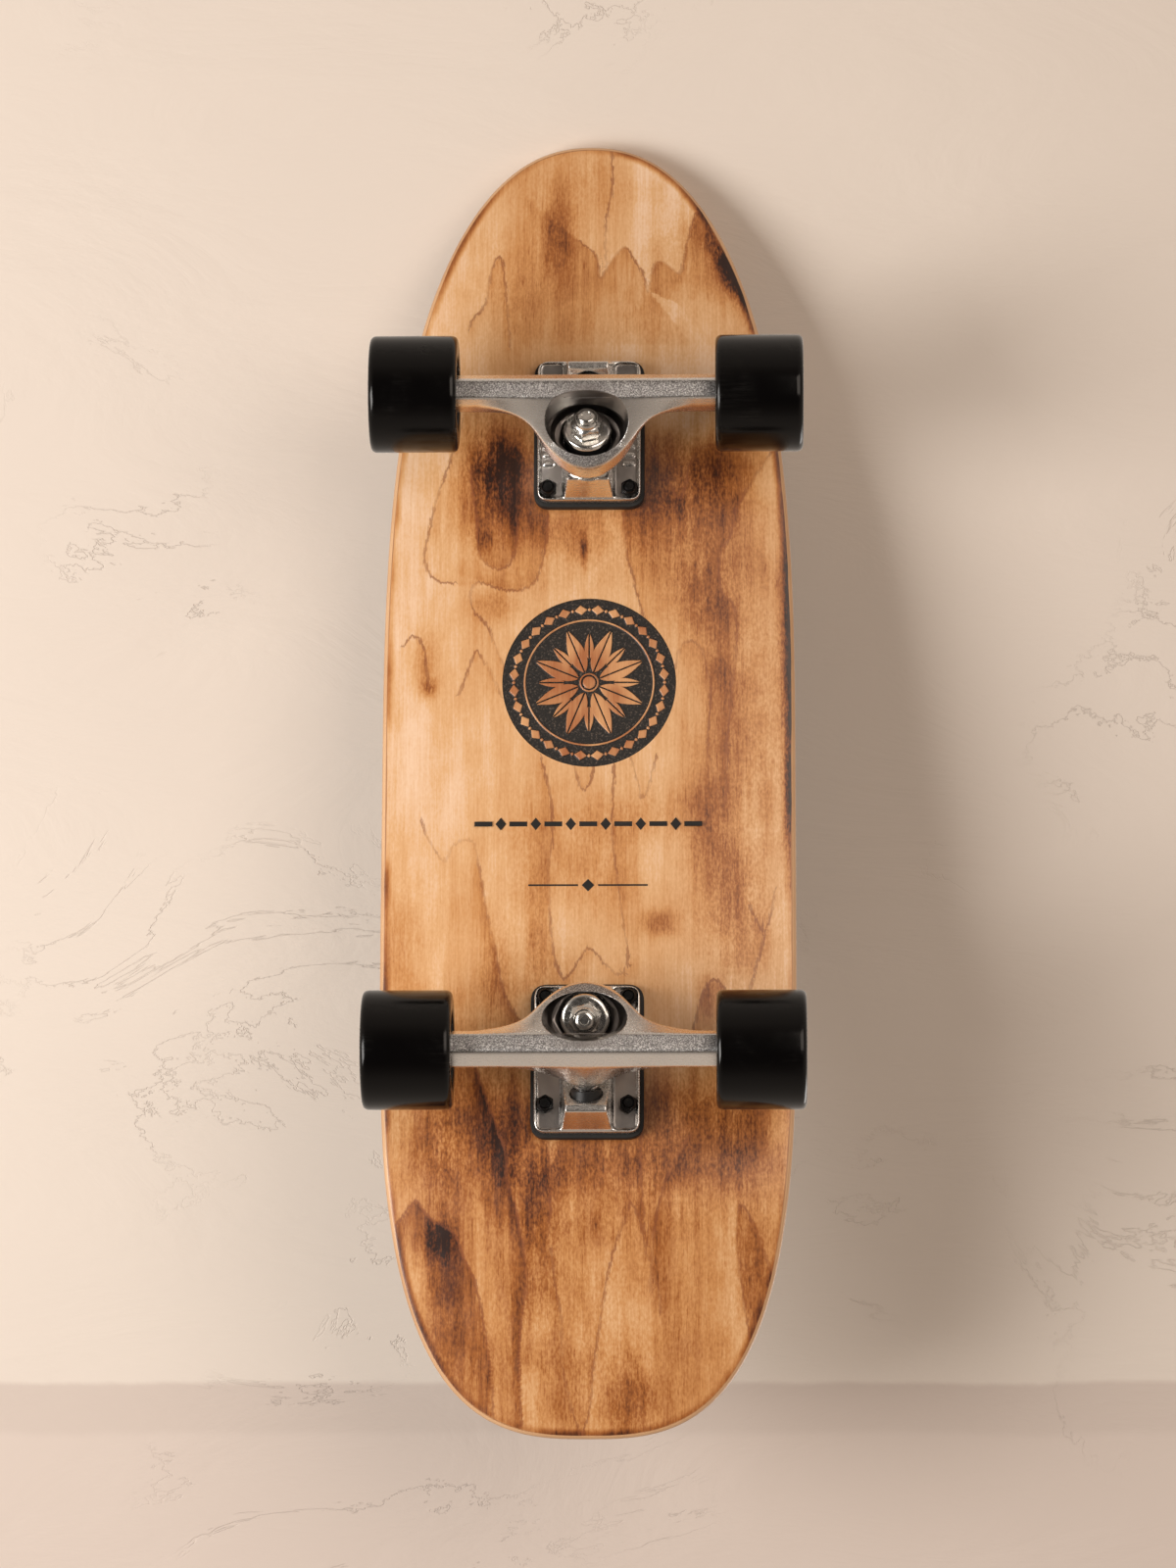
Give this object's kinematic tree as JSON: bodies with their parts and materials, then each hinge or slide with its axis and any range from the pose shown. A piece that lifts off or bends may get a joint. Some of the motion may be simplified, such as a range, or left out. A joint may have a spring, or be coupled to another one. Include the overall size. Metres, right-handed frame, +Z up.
{
  "type": "cruiser skateboard",
  "caption": "Short wooden cruiser deck with an upturned tail, carried on kingpin trucks that steer as the board leans and roll on cylindrical urethane wheels with ball bearings.",
  "frame": {"origin": "on the ground under the middle of the board: the centre of the bounding box's bottom face, in the plane that the wheels stand on", "axes": "+X along the board to the nose (the blunter end is the tail, at -X), +Y to the left, +Z up through the deck"},
  "size_m": [0.6704, 0.217, 0.1329],
  "materials": {
    "maple": "semi-gloss lacquer",
    "grip": "abrasive",
    "riser_rubber": "matte",
    "cast_aluminium": "polished",
    "chrome": "polished",
    "axle_steel": "turned",
    "black_oxide": "black oxide",
    "bushing_urethane": "satin",
    "cup_urethane": "satin",
    "wheel_urethane": "gloss",
    "bearing_steel": "ground"
  },
  "bodies": {
    "board": {"deck": "maple", "grip_tape": "grip", "front_riser_pad": "riser_rubber", "front_baseplate": "cast_aluminium", "front_pivot_cup": "cup_urethane", "front_kingpin": "chrome", "front_kingpin_nut": "chrome", "front_boardside_washer": "chrome", "front_roadside_washer": "chrome", "front_boardside_bushing": "bushing_urethane", "front_roadside_bushing": "bushing_urethane", "front_inner_left_bolt": "black_oxide", "front_inner_left_lock_nut": "black_oxide", "front_inner_right_bolt": "black_oxide", "front_inner_right_lock_nut": "black_oxide", "front_outer_left_bolt": "black_oxide", "front_outer_left_lock_nut": "black_oxide", "front_outer_right_bolt": "black_oxide", "front_outer_right_lock_nut": "black_oxide", "rear_riser_pad": "riser_rubber", "rear_baseplate": "cast_aluminium", "rear_pivot_cup": "cup_urethane", "rear_kingpin": "chrome", "rear_kingpin_nut": "chrome", "rear_boardside_washer": "chrome", "rear_roadside_washer": "chrome", "rear_boardside_bushing": "bushing_urethane", "rear_roadside_bushing": "bushing_urethane", "rear_inner_left_bolt": "black_oxide", "rear_inner_left_lock_nut": "black_oxide", "rear_inner_right_bolt": "black_oxide", "rear_inner_right_lock_nut": "black_oxide", "rear_outer_left_bolt": "black_oxide", "rear_outer_left_lock_nut": "black_oxide", "rear_outer_right_bolt": "black_oxide", "rear_outer_right_lock_nut": "black_oxide"},
    "front_hanger_body": {"front_hanger": "cast_aluminium", "front_axle": "axle_steel", "front_left_bearing_stack": "bearing_steel", "front_left_axle_nut": "chrome", "front_right_bearing_stack": "bearing_steel", "front_right_axle_nut": "chrome"},
    "front_left_wheel_body": {"front_left_wheel": "wheel_urethane", "front_left_inboard_bearing": "bearing_steel", "front_left_outboard_bearing": "bearing_steel"},
    "front_right_wheel_body": {"front_right_wheel": "wheel_urethane", "front_right_inboard_bearing": "bearing_steel", "front_right_outboard_bearing": "bearing_steel"},
    "rear_hanger_body": {"rear_hanger": "cast_aluminium", "rear_axle": "axle_steel", "rear_left_bearing_stack": "bearing_steel", "rear_left_axle_nut": "chrome", "rear_right_bearing_stack": "bearing_steel", "rear_right_axle_nut": "chrome"},
    "rear_left_wheel_body": {"rear_left_wheel": "wheel_urethane", "rear_left_inboard_bearing": "bearing_steel", "rear_left_outboard_bearing": "bearing_steel"},
    "rear_right_wheel_body": {"rear_right_wheel": "wheel_urethane", "rear_right_inboard_bearing": "bearing_steel", "rear_right_outboard_bearing": "bearing_steel"}
  },
  "joints": [
    {"name": "front_steer", "type": "hinge", "parent": "board", "child": "front_hanger_body", "pos_m": [0.15766, 0, 0.04925], "axis": [0.9239, 0, 0.3827], "range_deg": [-15, 15], "stiffness_Nm_per_rad": 60, "deforming": ["front_boardside_bushing", "front_roadside_bushing"]},
    {"name": "front_left_wheel_spin", "type": "hinge", "parent": "front_hanger_body", "child": "front_left_wheel_body", "pos_m": [0.17846, 0.0865, 0.02925], "axis": [0, 1, 0], "continuous": true},
    {"name": "front_right_wheel_spin", "type": "hinge", "parent": "front_hanger_body", "child": "front_right_wheel_body", "pos_m": [0.17846, -0.0865, 0.02925], "axis": [0, 1, 0], "continuous": true},
    {"name": "rear_steer", "type": "hinge", "parent": "board", "child": "rear_hanger_body", "pos_m": [-0.13614, 0, 0.04925], "axis": [0.9239, 0, -0.3827], "range_deg": [-15, 15], "stiffness_Nm_per_rad": 60, "deforming": ["rear_boardside_bushing", "rear_roadside_bushing"]},
    {"name": "rear_left_wheel_spin", "type": "hinge", "parent": "rear_hanger_body", "child": "rear_left_wheel_body", "pos_m": [-0.15694, 0.0865, 0.02925], "axis": [0, 1, 0], "continuous": true},
    {"name": "rear_right_wheel_spin", "type": "hinge", "parent": "rear_hanger_body", "child": "rear_right_wheel_body", "pos_m": [-0.15694, -0.0865, 0.02925], "axis": [0, 1, 0], "continuous": true}
  ]
}
